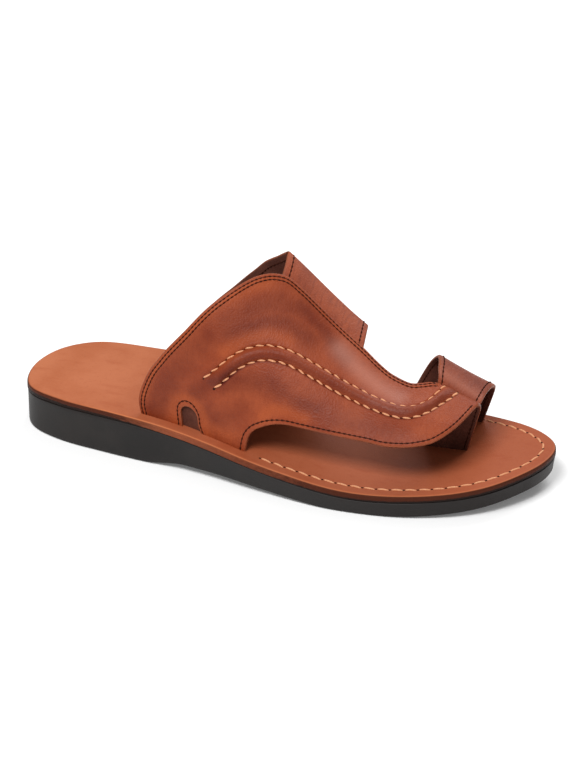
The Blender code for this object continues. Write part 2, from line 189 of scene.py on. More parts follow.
# Finer than the part's source, for the looks alone
EDGE_SOFT = 0.0009  # rounding of a strap's cut edge
GLUE_LINE = 0.00005  # between leather and lining
CORD_WIDTH = 0.0066
CORD_HEIGHT = 0.0023
CORD_ROWS = 0.0038  # from the piping's middle to its rows of stitches
VALLEY = 0.0007  # how deep those stitches pull the leather in
VALLEY_WIDTH = 0.0011
EDGE_ROWS = (0.0018, 0.0036)  # from the outer band's back and top edge to its two rows of dark stitches
SCREEN_SHARE = 0.8  # of a colour on the screen that a surface has, in this studio's light
RIB_STEPS = 16
STRIP_STEPS = 20
TURN_STEPS = 16
RING_POINTS = 360
BED_COLUMNS = 60


def eased(table, column, along):
    """A column of a table at these shares of the length, on a smooth curve that never overshoots its rows."""
    xs = np.array([row.along for row in table])
    ys = np.array([getattr(row, column) for row in table])
    rise = np.diff(ys) / np.diff(xs)
    slope = np.concatenate([rise[:1], np.zeros(len(xs) - 2), rise[-1:]])
    same = rise[:-1] * rise[1:] > 0
    slope[1:-1][same] = 2 * (rise[:-1] * rise[1:])[same] / (rise[:-1] + rise[1:])[same]
    at = np.clip(along, xs[0], xs[-1])
    i = np.clip(np.searchsorted(xs, at) - 1, 0, len(xs) - 2)
    step = xs[i + 1] - xs[i]
    t = (at - xs[i]) / step
    start = (1 + 2 * t) * (1 - t) ** 2 * ys[i] + t * (1 - t) ** 2 * step * slope[i]
    return start + t * t * (3 - 2 * t) * ys[i + 1] + t * t * (t - 1) * step * slope[i + 1]


def curve(a, b, c, d, t):
    """The Catmull-Rom curve through four values, at the share `t` of the way from b to c."""
    bend = 2 * a - 5 * b + 4 * c - d
    twist = 3 * b - a - 3 * c + d
    return 0.5 * (2 * b + (c - a) * t + bend * t**2 + twist * t**3)


def through(rows, steps):
    """The places of a table's rows, `steps` for each given one, and those rows on smooth curves."""
    rows = np.array(rows, float)
    padded = np.vstack([2 * rows[0] - rows[1], rows, 2 * rows[-1] - rows[-2]])
    at = np.linspace(0, len(rows) - 1, (len(rows) - 1) * steps + 1)
    i = np.minimum(at.astype(int), len(rows) - 2)
    return at, curve(*(padded[i + k] for k in range(4)), (at - i)[:, None])


def outline_across(turn):
    """The footbed's edge at `turn`: 0 is the heel tip, 10 the toe tip, and between them is the inner side."""
    inner = [half.inner for half in OUTLINE]
    outer = [-half.outer for half in reversed(OUTLINE)]
    ring = np.array([TIPS.heel, *inner, TIPS.toe, *outer]) * BALL_WIDTH
    turn = np.mod(turn, len(ring))
    i = np.floor(turn).astype(int)
    return curve(*(ring[(i + k) % len(ring)] for k in (-1, 0, 1, 2)), turn - i)


def edge_across(along, inner):
    turn = np.arccos(1 - 2 * np.clip(along, 0, 1)) / pi * (len(OUTLINE) + 1)
    return outline_across(turn if inner else -turn)


def bed_height(along):
    heel = eased(BED, "heel", along) * (HEEL_RISE - BALL_RISE)
    return BALL_RISE + heel + eased(BED, "tip", along) * (TOE_RISE - BALL_RISE)


def tread_height(along):
    return eased(TREAD, "arch", along) * ARCH_LIFT + eased(TREAD, "spring", along) * TOE_SPRING


def sole_taper(along):
    return eased(TREAD, "taper", along) * SOLE_TAPER


def last_point(along, up):
    """A point of the last: up is 0 at the footbed's outer side, 1 on the crest and 2 at its inner side."""
    along, up = np.broadcast_arrays(np.asarray(along, float), np.asarray(up, float))
    outer = up < 1
    foot = bed_height(along)
    ridge = eased(LAST, "ridge", along) * BALL_WIDTH
    rise = eased(LAST, "crest", along) * INSTEP_HEIGHT - foot
    outer_half = ridge - edge_across(along, False) - STRAP_MARGIN - WALL
    inner_half = edge_across(along, True) - STRAP_MARGIN - WALL - ridge
    angle = np.where(outer, up, 2 - up) * pi / 2
    wall = np.where(outer, eased(LAST, "wall", along), INNER_SIDE.wall)
    top = np.where(outer, eased(LAST, "top", along), INNER_SIDE.top)
    power = wall + (top - wall) * np.sin(angle) ** 2
    width, height = np.abs(np.cos(angle)), np.abs(np.sin(angle))
    reach = (width**power + height**power) ** (-1 / power)
    across = ridge + np.where(outer, -outer_half, inner_half) * reach * width
    return np.stack([along * LENGTH, across, foot + rise * reach * height * np.sign(angle)], axis=-1)


def last_normal(along, up):
    """The last's unit normal, away from the foot."""
    nudge = 1e-4
    a = last_point(along + nudge, up) - last_point(along - nudge, up)
    b = last_point(along, up + nudge) - last_point(along, up - nudge)
    normal = np.cross(a, b)
    return normal / np.linalg.norm(normal, axis=-1, keepdims=True)


def unit(vectors):
    return vectors / np.maximum(np.linalg.norm(vectors, axis=-1, keepdims=True), 1e-12)


def normals_of(grid):
    """Unit normals of a grid of points, on the side that the cross product of rows and columns points to."""
    return unit(np.cross(np.gradient(grid, axis=0), np.gradient(grid, axis=1)))


def origin_shift():
    """What moves the heel's frame to the middle of the sole's outline."""
    across = outline_across(np.linspace(0, 2 * (len(OUTLINE) + 1), 400))
    return np.array([-LENGTH / 2, -(across.max() + across.min()) / 2, 0.0])


SHIFT = origin_shift()


def mesh_object(name, points, faces, materials, marks=None, slots=None, angle=0.7, turn=True):
    """A smooth shaded mesh in the part's frame. marks are numbers for its points, which its material reads."""
    mesh = bpy.data.meshes.new(name)
    mesh.from_pydata((np.asarray(points) + SHIFT).tolist(), [], faces)
    for mark, values in (marks or {}).items():
        layer = mesh.attributes.new(mark, "FLOAT", "POINT")
        layer.data.foreach_set("value", np.asarray(values, np.float32).ravel())
    for made in materials:
        mesh.materials.append(made)
    if slots is not None:
        mesh.polygons.foreach_set("material_index", slots)
    if turn:
        shaped = bmesh.new()
        shaped.from_mesh(mesh)
        bmesh.ops.recalc_face_normals(shaped, faces=shaped.faces)
        shaped.to_mesh(mesh)
        shaped.free()
    mesh.shade_smooth()
    mesh.set_sharp_from_angle(angle=angle)
    obj = bpy.data.objects.new(name, mesh)
    bpy.context.scene.collection.objects.link(obj)
    return obj


def grid_faces(rows, cols, keep=None):
    i, j = np.meshgrid(np.arange(rows - 1), np.arange(cols - 1), indexing="ij")
    quads = np.stack([i * cols + j, i * cols + j + 1, (i + 1) * cols + j + 1, (i + 1) * cols + j], axis=-1)
    return quads[keep] if keep is not None else quads.reshape(-1, 4)


def sheet_object(name, face, back, made, marks, keep=None):
    """A closed sheet between two grids of points. keep says which of its squares are there."""
    rows, cols = face.shape[:2]
    count = rows * cols
    quads = grid_faces(rows, cols, keep)
    ends = np.concatenate([quads[:, [k, (k + 1) % 4]] for k in range(4)])
    edge = np.sort(ends, axis=1)
    code = edge[:, 0].astype(np.int64) * count + edge[:, 1]
    _, where, times = np.unique(code, return_index=True, return_counts=True)
    rim = ends[where[times == 1]]
    walls = np.column_stack([rim[:, 1], rim[:, 0], count + rim[:, 0], count + rim[:, 1]])
    faces = np.concatenate([quads, count + quads[:, ::-1], walls])
    points = np.concatenate([face.reshape(-1, 3), back.reshape(-1, 3)])
    used = np.unique(faces)
    place = np.zeros(2 * count, np.int64)
    place[used] = np.arange(len(used))
    both = {mark: np.concatenate([values.ravel(), values.ravel()])[used] for mark, values in marks.items()}
    cut = np.concatenate([np.zeros(count), np.ones(count)])[used]
    both["back"] = cut
    return mesh_object(name, points[used], place[faces].tolist(), [made], both)


def softened(distance, radius=EDGE_SOFT):
    """How far a face drops at this distance from its cut edge."""
    inside = np.clip(radius - distance, 0, radius)
    return radius - np.sqrt(radius**2 - inside**2)


def edge_places(length):
    """Distances from a cut edge at which a face needs points, as shares of the rib."""
    return [share * EDGE_SOFT / length for share in (0.0, 0.1, 0.35, 1.0)]


def stroke_shade(points, strokes):
    """How strongly the given strokes cover these points: each has places on the last, a width and a strength."""
    covered = np.zeros(points.shape[:-1])
    for places, width, strength in strokes:
        line = last_point(*np.array(places).T)
        nearest = np.full(points.shape[:-1], 1.0)
        for a, b in zip(line, line[1:]):
            share = np.clip(((points - a) @ (b - a)) / ((b - a) @ (b - a)), 0, 1)
            nearest = np.minimum(nearest, np.linalg.norm(points - a - share[..., None] * (b - a), axis=-1))
        covered = np.maximum(covered, strength * np.exp(-((nearest / width) ** 2)))
    return covered


# Materials


class Tree:
    """Builds a material's nodes."""

    def __init__(self, name):
        self.made = bpy.data.materials.new(name)
        self.made.use_nodes = True
        self.nodes = self.made.node_tree.nodes
        self.links = self.made.node_tree.links
        self.shader = self.nodes["Principled BSDF"]

    def put(self, socket, value):
        if hasattr(value, "is_output"):
            self.links.new(value, socket)
        else:
            socket.default_value = value

    def node(self, kind, out=0, **inputs):
        settings = inputs.pop("settings", {})
        made = self.nodes.new(kind)
        for key, value in settings.items():
            setattr(made, key, value)
        for key, value in inputs.items():
            self.put(made.inputs[key], value)
        return made.outputs[out]

    def mark(self, name):
        return self.node("ShaderNodeAttribute", out="Fac", settings={"attribute_name": name})

    def place(self):
        return self.node("ShaderNodeTexCoord", out="Object")

    def math(self, kind, a, b=0.0, clamp=False):
        made = self.nodes.new("ShaderNodeMath")
        made.operation = kind
        made.use_clamp = clamp
        self.put(made.inputs[0], a)
        self.put(made.inputs[1], b)
        return made.outputs[0]

    def ramp(self, value, low, high, start=0.0, stop=1.0):
        made = self.nodes.new("ShaderNodeMapRange")
        made.interpolation_type = "SMOOTHSTEP"
        for key, number in (("From Min", low), ("From Max", high), ("To Min", start), ("To Max", stop)):
            made.inputs[key].default_value = number
        self.put(made.inputs["Value"], value)
        return made.outputs["Result"]

    def noise(self, place, scale, detail=3.0, rough=0.5):
        return self.node(
            "ShaderNodeTexNoise", Vector=place, Scale=scale, Detail=detail, Roughness=rough
        )

    def cells(self, place, scale, feature="F1"):
        return self.node(
            "ShaderNodeTexVoronoi", out="Distance", Vector=place, Scale=scale, settings={"feature": feature}
        )

    def mix(self, share, a, b, kind="MIX"):
        made = self.nodes.new("ShaderNodeMix")
        made.data_type = "RGBA"
        made.blend_type = kind
        self.put(made.inputs["Factor"], share)
        self.put(made.inputs["A"], a)
        self.put(made.inputs["B"], b)
        return made.outputs["Result"]

    def scaled(self, place, scale):
        made = self.nodes.new("ShaderNodeVectorMath")
        made.operation = "MULTIPLY"
        self.put(made.inputs[0], place)
        made.inputs[1].default_value = scale
        return made.outputs[0]

    def bump(self, *layers):
        """Height layers, each a height in metres and a value, the first one below."""
        normal = None
        for height, value in layers:
            made = self.nodes.new("ShaderNodeBump")
            made.inputs["Strength"].default_value = 1.0
            made.inputs["Distance"].default_value = height
            self.put(made.inputs["Height"], value)
            if normal is not None:
                self.links.new(normal, made.inputs["Normal"])
            normal = made.outputs[0]
        self.links.new(normal, self.shader.inputs["Normal"])

    def finish(self, colour, roughness, **sockets):
        self.put(self.shader.inputs["Base Color"], colour)
        self.put(self.shader.inputs["Roughness"], roughness)
        for name, value in sockets.items():
            self.shader.inputs[name.replace("_", " ")].default_value = value
        return self.made


def rgb(red, green, blue):
    """A colour of the screen, 0 to 255, as the shader takes it."""
    linear = [(c / 255) / 12.92 if c <= 10 else ((c / 255 + 0.055) / 1.055) ** 2.4 for c in (red, green, blue)]
    return (*(SCREEN_SHARE * c for c in linear), 1.0)


def strap_leather():
    """Waxed pull-up leather: orange tan where it is stretched, dark red brown where it creases."""
    t = Tree("waxed pull-up leather")
    place = t.place()
    clouds = t.noise(place, 38.0, 4.0, 0.55)
    blots = t.noise(t.scaled(place, (1.0, 0.6, 1.3)), 110.0, 4.0, 0.6)
    flecks = t.noise(place, 420.0, 3.0, 0.6)
    fibres = t.noise(t.scaled(place, (6.0, 1.0, 1.0)), 150.0, 3.0, 0.6)
    base = t.mix(t.ramp(clouds, 0.36, 0.66), rgb(152, 66, 34), rgb(168, 79, 44))
    base = t.mix(t.math("MULTIPLY", t.ramp(blots, 0.46, 0.74), 0.18), base, rgb(124, 46, 24))
    base = t.mix(t.math("MULTIPLY", t.ramp(flecks, 0.45, 0.75), 0.2), base, rgb(130, 48, 24))
    streaks = t.math("MULTIPLY", t.ramp(fibres, 0.42, 0.72), t.mark("streak"))
    base = t.mix(streaks, base, rgb(112, 42, 24))
    # shade: dark pull-up creases, and on the piping painted shade
    dark = t.math("MULTIPLY", t.mark("shade"), t.ramp(blots, 0.3, 0.7, 0.9, 1.1), clamp=True)
    base = t.mix(dark, base, rgb(84, 18, 8))
    # glow: lighter where the leather is stretched, and a painted highlight on the bead along the edge stitches
    base = t.mix(t.math("MULTIPLY", t.mark("glow"), 0.7, clamp=True), base, rgb(192, 92, 44))
    # painted sheen: a pale highlight mixed into the colour where the leather faces the lights
    base = t.mix(t.mark("painted_sheen"), base, rgb(212, 150, 132))
    base = t.mix(t.math("MULTIPLY", t.mark("back"), 0.6), base, rgb(118, 52, 32))
    rim = t.ramp(t.mark("edge_mm"), 0.1, 1.1, 1.0, 0.0)
    base = t.mix(t.math("MULTIPLY", rim, 0.75), base, rgb(156, 84, 54))
    grain = t.cells(place, 1050.0)
    pores = t.noise(place, 2300.0, 2.0, 0.6)
    rough = t.ramp(t.math("ADD", clouds, t.math("MULTIPLY", flecks, 0.4)), 0.4, 0.95, 0.40, 0.54)
    t.bump((0.00016, grain), (0.00008, pores), (0.00008, flecks))
    return t.finish(base, rough, Specular_IOR_Level=0.19)


def lining_leather():
    t = Tree("suede lining")
    place = t.place()
    clouds = t.noise(place, 60.0, 4.0, 0.6)
    nap = t.noise(place, 1400.0, 3.0, 0.7)
    base = t.mix(t.ramp(clouds, 0.35, 0.7), rgb(92, 52, 41), rgb(118, 69, 54))
    base = t.mix(t.math("MULTIPLY", nap, 0.4), base, rgb(60, 32, 26))
    rim = t.ramp(t.mark("edge_mm"), 0.1, 0.5, 1.0, 0.0)
    base = t.mix(t.math("MULTIPLY", rim, 0.8), base, rgb(142, 78, 52))
    t.bump((0.00018, nap))
    return t.finish(base, 0.85, Specular_IOR_Level=0.15)


def footbed_leather():
    """Vegetable tanned footbed: smooth top, burnished bevel under a painted highlight, raw side stained black towards
    the rubber.
    """
    t = Tree("footbed leather")
    place = t.place()
    clouds = t.noise(place, 26.0, 4.0, 0.55)
    streaks = t.noise(t.scaled(place, (1.0, 3.0, 3.0)), 55.0, 4.0, 0.6)
    flecks = t.noise(place, 600.0, 3.0, 0.6)
    base = t.mix(t.ramp(clouds, 0.35, 0.66), rgb(192, 110, 72), rgb(204, 123, 85))
    base = t.mix(t.math("MULTIPLY", t.ramp(streaks, 0.5, 0.75), 0.3), base, rgb(172, 84, 50))
    base = t.mix(t.math("MULTIPLY", t.ramp(flecks, 0.5, 0.8), 0.18), base, rgb(150, 70, 44))
    base = t.mix(t.mark("shade"), base, rgb(140, 44, 18))
    drop = t.mark("drop_mm")
    side = t.ramp(drop, 0.05, 0.7)
    wear = t.noise(t.scaled(place, (1.0, 1.0, 2.2)), 320.0, 4.0, 0.7)
    burnt = t.math("MULTIPLY", t.math("ADD", t.math("MULTIPLY", wear, 0.8), 0.5), t.mark("burnish"))
    base = t.mix(t.math("MULTIPLY", side, burnt, clamp=True), base, rgb(82, 38, 22))
    # painted highlight along the rounded bevel at the top edge
    bevel = t.math("MULTIPLY", t.ramp(drop, 0.02, 0.2), t.ramp(drop, 0.25, 0.6, 1.0, 0.0))
    base = t.mix(t.math("MULTIPLY", bevel, t.mark("shine")), base, rgb(228, 138, 88))
    stain = t.math("SUBTRACT", t.math("ADD", drop, t.math("MULTIPLY", wear, 1.2)), t.mark("stain_mm"))
    base = t.mix(t.math("MULTIPLY", t.ramp(stain, 0.35, 1.0), 0.96), base, rgb(34, 24, 20))
    grain = t.cells(place, 1700.0)
    fibres = t.noise(t.scaled(place, (1.0, 1.0, 4.0)), 900.0, 3.0, 0.7)
    t.bump((0.00006, grain), (0.00006, flecks), (0.00025, t.math("MULTIPLY", side, fibres)))
    rough = t.ramp(clouds, 0.3, 0.7, 0.42, 0.54)
    return t.finish(base, rough, Specular_IOR_Level=0.09)


def sole_rubber():
    t = Tree("moulded rubber")
    place = t.place()
    clouds = t.noise(place, 45.0, 4.0, 0.6)
    specks = t.noise(place, 1500.0, 3.0, 0.6)
    base = t.mix(t.ramp(clouds, 0.3, 0.7), rgb(33, 30, 29), rgb(45, 41, 39))
    # a darker band at the joint with the footbed, and painted shade darker towards the toe
    base = t.mix(t.math("MULTIPLY", t.mark("shade"), 0.9, clamp=True), base, rgb(27, 17, 13))
    grooves = t.node(
        "ShaderNodeTexWave",
        out="Fac",
        Vector=place,
        Scale=62.0,
        Distortion=1.2,
        settings={"bands_direction": "X"},
    )
    tread = t.math("MULTIPLY", t.ramp(grooves, 0.35, 0.65), t.mark("tread"))
    t.bump((0.0008, tread), (0.00008, specks))
    rough = t.ramp(clouds, 0.3, 0.7, 0.44, 0.56)
    return t.finish(base, rough, Specular_IOR_Level=0.22)


def thread_material(name, light, dark, roughness):
    t = Tree(name)
    place = t.place()
    fuzz = t.noise(place, 2400.0, 3.0, 0.6)
    base = t.mix(t.ramp(fuzz, 0.3, 0.75), dark, light)
    t.bump((0.00012, fuzz))
    return t.finish(base, roughness, Specular_IOR_Level=0.08)


# dark domes for the needle holes: their colour is painted shade of the holes
def painted_hole_shade():
    t = Tree("needle holes")
    fuzz = t.noise(t.place(), 2000.0, 2.0, 0.5)
    base = t.mix(fuzz, rgb(40, 16, 10), rgb(62, 26, 16))
    return t.finish(base, 0.8, Specular_IOR_Level=0.1)


# Grids of points for the straps


def outer_band():
    """Face and back of the outer band, its marks, the squares that are there, and helpers for the stitches."""
    place, ribs = through(OUTER_BAND, RIB_STEPS)
    ends = [last_point(ribs[:, 0], ribs[:, 1]), last_point(ribs[:, 2], ribs[:, 3])]
    length = np.linalg.norm(ends[1] - ends[0], axis=1)
    half = PIPING_WIDTH / 2 / length
    reach = (PIPING_WIDTH / 2 + 2 * VALLEY_WIDTH) / length
    middle = ribs[:, 4]
    near, soft = edge_places(length)[:-1], EDGE_SOFT / length
    columns = np.concatenate(
        [
            [share + 0 * length for share in near],
            np.linspace(soft, middle - reach, 32),
            np.linspace(middle - reach, middle + reach, 33)[1:-1],
            np.linspace(middle + reach, 1 - soft, 28),
            [1 - share + 0 * length for share in reversed(near)],
        ]
    ).T
    along = ribs[:, :1] + (ribs[:, 2:3] - ribs[:, :1]) * columns
    up = ribs[:, 1:2] + (ribs[:, 3:4] - ribs[:, 1:2]) * columns
    along, up, gap = notched(along, up)
    back = last_point(along, up)
    face = back + WALL * -normals_of(back)
    foot_along = along[0]

    end = face[-1]
    seam = end[:, 1].max() + WALL + FOLD_RADIUS
    drop = seam - end[:, 1]
    share = (end[:, 0] - end[0, 0]) / (end[-1, 0] - end[0, 0])
    foot_x = (TURN_DOWN.back + (TURN_DOWN.front - TURN_DOWN.back) * share) * LENGTH
    foot_z = bed_height(foot_x / LENGTH)
    centre = end - np.column_stack([0 * drop, 0 * drop, drop])
    inner = np.maximum(drop - WALL, 0)
    folds, drops = 12, 30
    turned = {}
    for key, radius in (("face", drop), ("back", inner)):
        rows = []
        for angle in np.linspace(0, pi / 2, folds + 1)[1:]:
            rows.append(centre + np.column_stack([0 * drop, radius * sin(angle), radius * cos(angle)]))
        top = rows[-1]
        for down in np.linspace(0, 1, drops + 1)[1:]:
            row = top.copy()
            row[:, 0] += (foot_x - top[:, 0]) * down
            row[:, 2] += (foot_z - top[:, 2]) * down
            rows.append(row)
        turned[key] = rows
    more = folds + drops

    across = np.linalg.norm(np.diff(back, axis=1), axis=2)
    from_top = np.concatenate([0 * length[:, None], np.cumsum(across, axis=1)], axis=1)
    edge = np.minimum(from_top, from_top[:, -1:] - from_top)
    shift = (columns - middle[:, None]) * length[:, None]
    bump = np.clip(1 - (shift / (CORD_WIDTH / 2)) ** 2, 0, 1) ** 0.75 * CORD_HEIGHT
    foot = np.abs(np.abs(shift) - CORD_ROWS)
    bump -= VALLEY * np.exp(-((foot / (VALLEY_WIDTH / 2)) ** 2))
    run = np.clip((place - PIPING.start) / PIPING.run_in, 0, 1) * np.clip((PIPING.end - place) / PIPING.run_out, 0, 1)
    bump *= run[:, None]
    shade = stroke_shade(back, DARK_STROKES)
    glow = stroke_shade(back, GLOW_STROKES)
    # painted sheen, a pale highlight
    painted_sheen = stroke_shade(back, PAINTED_SHEEN_STROKES)
    ring = np.exp(-(((gap - 0.0045) / 0.003) ** 2))
    glow = glow + 0.5 * ring
    # The piping is darker red brown; its lower half darker still and the dark line just below its lower row of
    # stitches are painted shade.
    side = np.clip(shift / (CORD_WIDTH / 2), -1, 1)
    cord = (1 - side**4) * np.clip(place - PIPING.start, 0, 1)[:, None]
    painted_groove_shadow = np.exp(-(((shift - CORD_ROWS - 0.0006) / 0.0007) ** 2)) * run[:, None]
    shade = shade + 0.36 * cord + 0.3 * cord * side + 0.55 * painted_groove_shadow
    upper = from_top < from_top[:, -1:] / 2
    # painted highlight on the raised bead between the two rows of dark edge stitches
    bead = np.exp(-(((edge - sum(EDGE_ROWS) / 2) / 0.0006) ** 2)) * upper
    glow = glow + 0.45 * bead
    bump += 0.00018 * bead
    groove = sum(np.exp(-(((edge - row) / 0.0004) ** 2)) for row in EDGE_ROWS)
    bump -= 0.00012 * groove * upper

    def with_ends(grid, extra):
        first = grid[:1].copy()
        if grid.ndim == 3:
            first[0, :, 2] = bed_height(foot_along) - FOOTBED + SLOT_FLOOR
            last = np.array(extra)
            foot_row = last[-1:].copy()
            foot_row[0, :, 2] = bed_height(foot_x / LENGTH) - FOOTBED + SLOT_FLOOR
            return np.concatenate([first, grid, last, foot_row])
        return np.concatenate([first, grid, np.repeat(grid[-1:], more + 1, axis=0) * extra[:, None]])

    keep_on, fade = np.ones(more + 1), np.linspace(1, 0, more + 1)
    quick_fade = np.concatenate([np.linspace(1, 0, folds + 1)[1:], np.zeros(drops + 1)])
    face, back = with_ends(face, turned["face"]), with_ends(back, turned["back"])
    marks = {
        "edge_mm": with_ends(np.minimum(edge, np.maximum(gap, 0)) * 1000, keep_on),
        "shade": with_ends(shade, fade),
        "glow": with_ends(glow, fade),
        "painted_sheen": with_ends(painted_sheen, fade),
        "streak": with_ends(0.15 + 0 * shade, keep_on),
        "border_mm": with_ends(edge * 1000, keep_on),
    }
    lift = with_ends(bump, quick_fade) - softened(with_ends(edge, keep_on))
    outward = unit(face - back)
    keep = np.ones((face.shape[0] - 1, face.shape[1] - 1), bool)
    solid = np.concatenate([gap[:1], gap, np.full((more + 1, gap.shape[1]), 1.0)])
    corner = np.stack([solid[:-1, :-1], solid[1:, :-1], solid[:-1, 1:], solid[1:, 1:]])
    keep = (corner > 1e-6).any(axis=0)
    return face, back, outward, lift, marks, keep, seam, columns, length


def notched(along, up):
    """Moves the points inside the arched notch to its edge, and gives each point's distance from that edge."""

    def distance(a, u):
        height = last_point(a, u)[..., 2] - bed_height(a)
        sideways = (a - NOTCH.along) * LENGTH + NOTCH_LEAN * height / NOTCH_HEIGHT
        foot = np.clip(1 - height / (NOTCH_HEIGHT / 2), 0, 1.3)
        sideways = np.where(sideways > 0, np.maximum(sideways - NOTCH.flare * foot**2, 0), sideways)
        above = np.maximum(height - (NOTCH_HEIGHT - NOTCH_WIDTH / 2), 0)
        return np.hypot(sideways, above) - NOTCH_WIDTH / 2

    gap = distance(along, up)
    gap = np.where(up > 0.3, 1.0, gap)
    inside = gap < 0
    a, u = along[inside], up[inside]
    for _ in range(12):
        now = distance(a, u)
        step_a, step_u = 1e-4, 1e-3
        by_a = (distance(a + step_a, u) - now) / step_a
        by_u = (distance(a, u + step_u) - now) / step_u
        size = by_a**2 / LENGTH**2 + (by_u * 10) ** 2 + 1e-9
        move = now / size
        a = a - np.clip(move * by_a / LENGTH**2, -0.004, 0.004)
        u = u - np.clip(move * by_u * 100, -0.01, 0.01)
    snapped_a, snapped_u = along.copy(), up.copy()
    snapped_a[inside], snapped_u[inside] = a, u
    edge = inside & near_outside(inside)
    out_a, out_u = np.where(edge, snapped_a, along), np.where(edge, snapped_u, up)
    return out_a, out_u, np.where(inside, 0.0, gap)


def near_outside(inside):
    """Which points inside have one outside among their eight neighbours."""
    padded = np.pad(~inside, 1)
    found = np.zeros_like(inside)
    rows, cols = inside.shape
    for i in range(3):
        for j in range(3):
            found |= padded[i : i + rows, j : j + cols]
    return found


# Pull-up marks on the outer band, placed on the last: places, width in metres, strength
DARK_STROKES = [
    ([(0.298, 0.062), (0.326, 0.158), (0.367, 0.270), (0.407, 0.391), (0.442, 0.513)], 0.0085, 0.40),
    ([(0.442, 0.513), (0.475, 0.650), (0.500, 0.730), (0.530, 0.755)], 0.0080, 0.46),
    ([(0.525, 0.775), (0.545, 0.770), (0.563, 0.757), (0.589, 0.738), (0.621, 0.695)], 0.0050, 0.55),
    ([(0.420, 0.400), (0.450, 0.470), (0.481, 0.570), (0.513, 0.640), (0.558, 0.654)], 0.0070, 0.50),
    ([(0.430, 0.220), (0.454, 0.259), (0.478, 0.284), (0.507, 0.316), (0.538, 0.319)], 0.0065, 0.52),
    ([(0.520, 0.318), (0.545, 0.322), (0.574, 0.328), (0.600, 0.342)], 0.0052, 0.48),
    ([(0.375, 0.130), (0.390, 0.161), (0.408, 0.205)], 0.0055, 0.48),
    ([(0.292, 0.025), (0.305, 0.062), (0.318, 0.110)], 0.0075, 0.46),
    ([(0.575, 0.342), (0.620, 0.332), (0.657, 0.344), (0.704, 0.381), (0.750, 0.430)], 0.0070, 0.34),
    ([(0.400, 0.087), (0.415, 0.060), (0.445, 0.110), (0.470, 0.170)], 0.0060, 0.30),
]
GLOW_STROKES = [
    ([(0.423, 0.328), (0.458, 0.443), (0.493, 0.532), (0.527, 0.572)], 0.0036, 0.50),
    ([(0.507, 0.177), (0.526, 0.230), (0.557, 0.257), (0.585, 0.268)], 0.0030, 0.50),
    ([(0.270, 0.060), (0.300, 0.185), (0.360, 0.345), (0.420, 0.560), (0.470, 0.770)], 0.0030, 0.40),
    ([(0.417, 0.036), (0.444, 0.036), (0.468, 0.057)], 0.0030, 0.40),
]
# Painted sheen on it, in the same way: pale highlights where the band faces the lights
PAINTED_SHEEN_STROKES = [
    ([(0.610, 0.720), (0.645, 0.690), (0.690, 0.660), (0.730, 0.655)], 0.0060, 0.38),
    ([(0.700, 0.560), (0.745, 0.600), (0.775, 0.700)], 0.0060, 0.08),
]


def inner_band():
    _, strips = through(INNER_BAND, STRIP_STEPS)
    length = (strips[:, 2] - strips[:, 1]) * LENGTH
    near = edge_places(length)[:-1]
    soft = EDGE_SOFT / length
    columns = np.concatenate(
        [
            [share + 0 * length for share in near],
            np.linspace(soft, 1 - soft, 56),
            [1 - share + 0 * length for share in reversed(near)],
        ]
    ).T
    along = strips[:, 1:2] + (strips[:, 2:3] - strips[:, 1:2]) * columns
    surface = last_point(along, strips[:, :1] + 0 * along)
    outward = -normals_of(surface)
    step = np.linalg.norm(np.diff(surface, axis=1), axis=2)
    from_back = np.concatenate([0 * length[:, None], np.cumsum(step, axis=1)], axis=1)
    edge = np.minimum(from_back, from_back[:, -1:] - from_back)
    face = surface - GLUE_LINE * outward
    back = surface - WALL * outward
    foot = bed_height(along[-1]) - FOOTBED + SLOT_FLOOR

    def seated(grid):
        last = grid[-1:].copy()
        if grid.ndim == 3:
            last[0, :, 2] = foot
        return np.concatenate([grid, last])

    marks = {"edge_mm": seated(edge * 1000)}
    marks["shade"] = 0.04 + 0.22 * np.exp(-(((seated(from_back) - 0.014) / 0.006) ** 2))
    marks["glow"] = 0 * marks["shade"]
    # painted highlight along the band's crest
    crest = np.concatenate([strips[:, 0], strips[-1:, 0]])[:, None]
    marks["painted_sheen"] = 0.03 + 0.10 * np.exp(-(((crest - 1.0) / 0.12) ** 2)) + 0 * marks["shade"]
    marks["streak"] = 0.5 + 0 * marks["shade"]
    marks["border_mm"] = marks["edge_mm"]
    return seated(face), seated(back), seated(outward), -softened(seated(edge)), marks, seated(from_back)


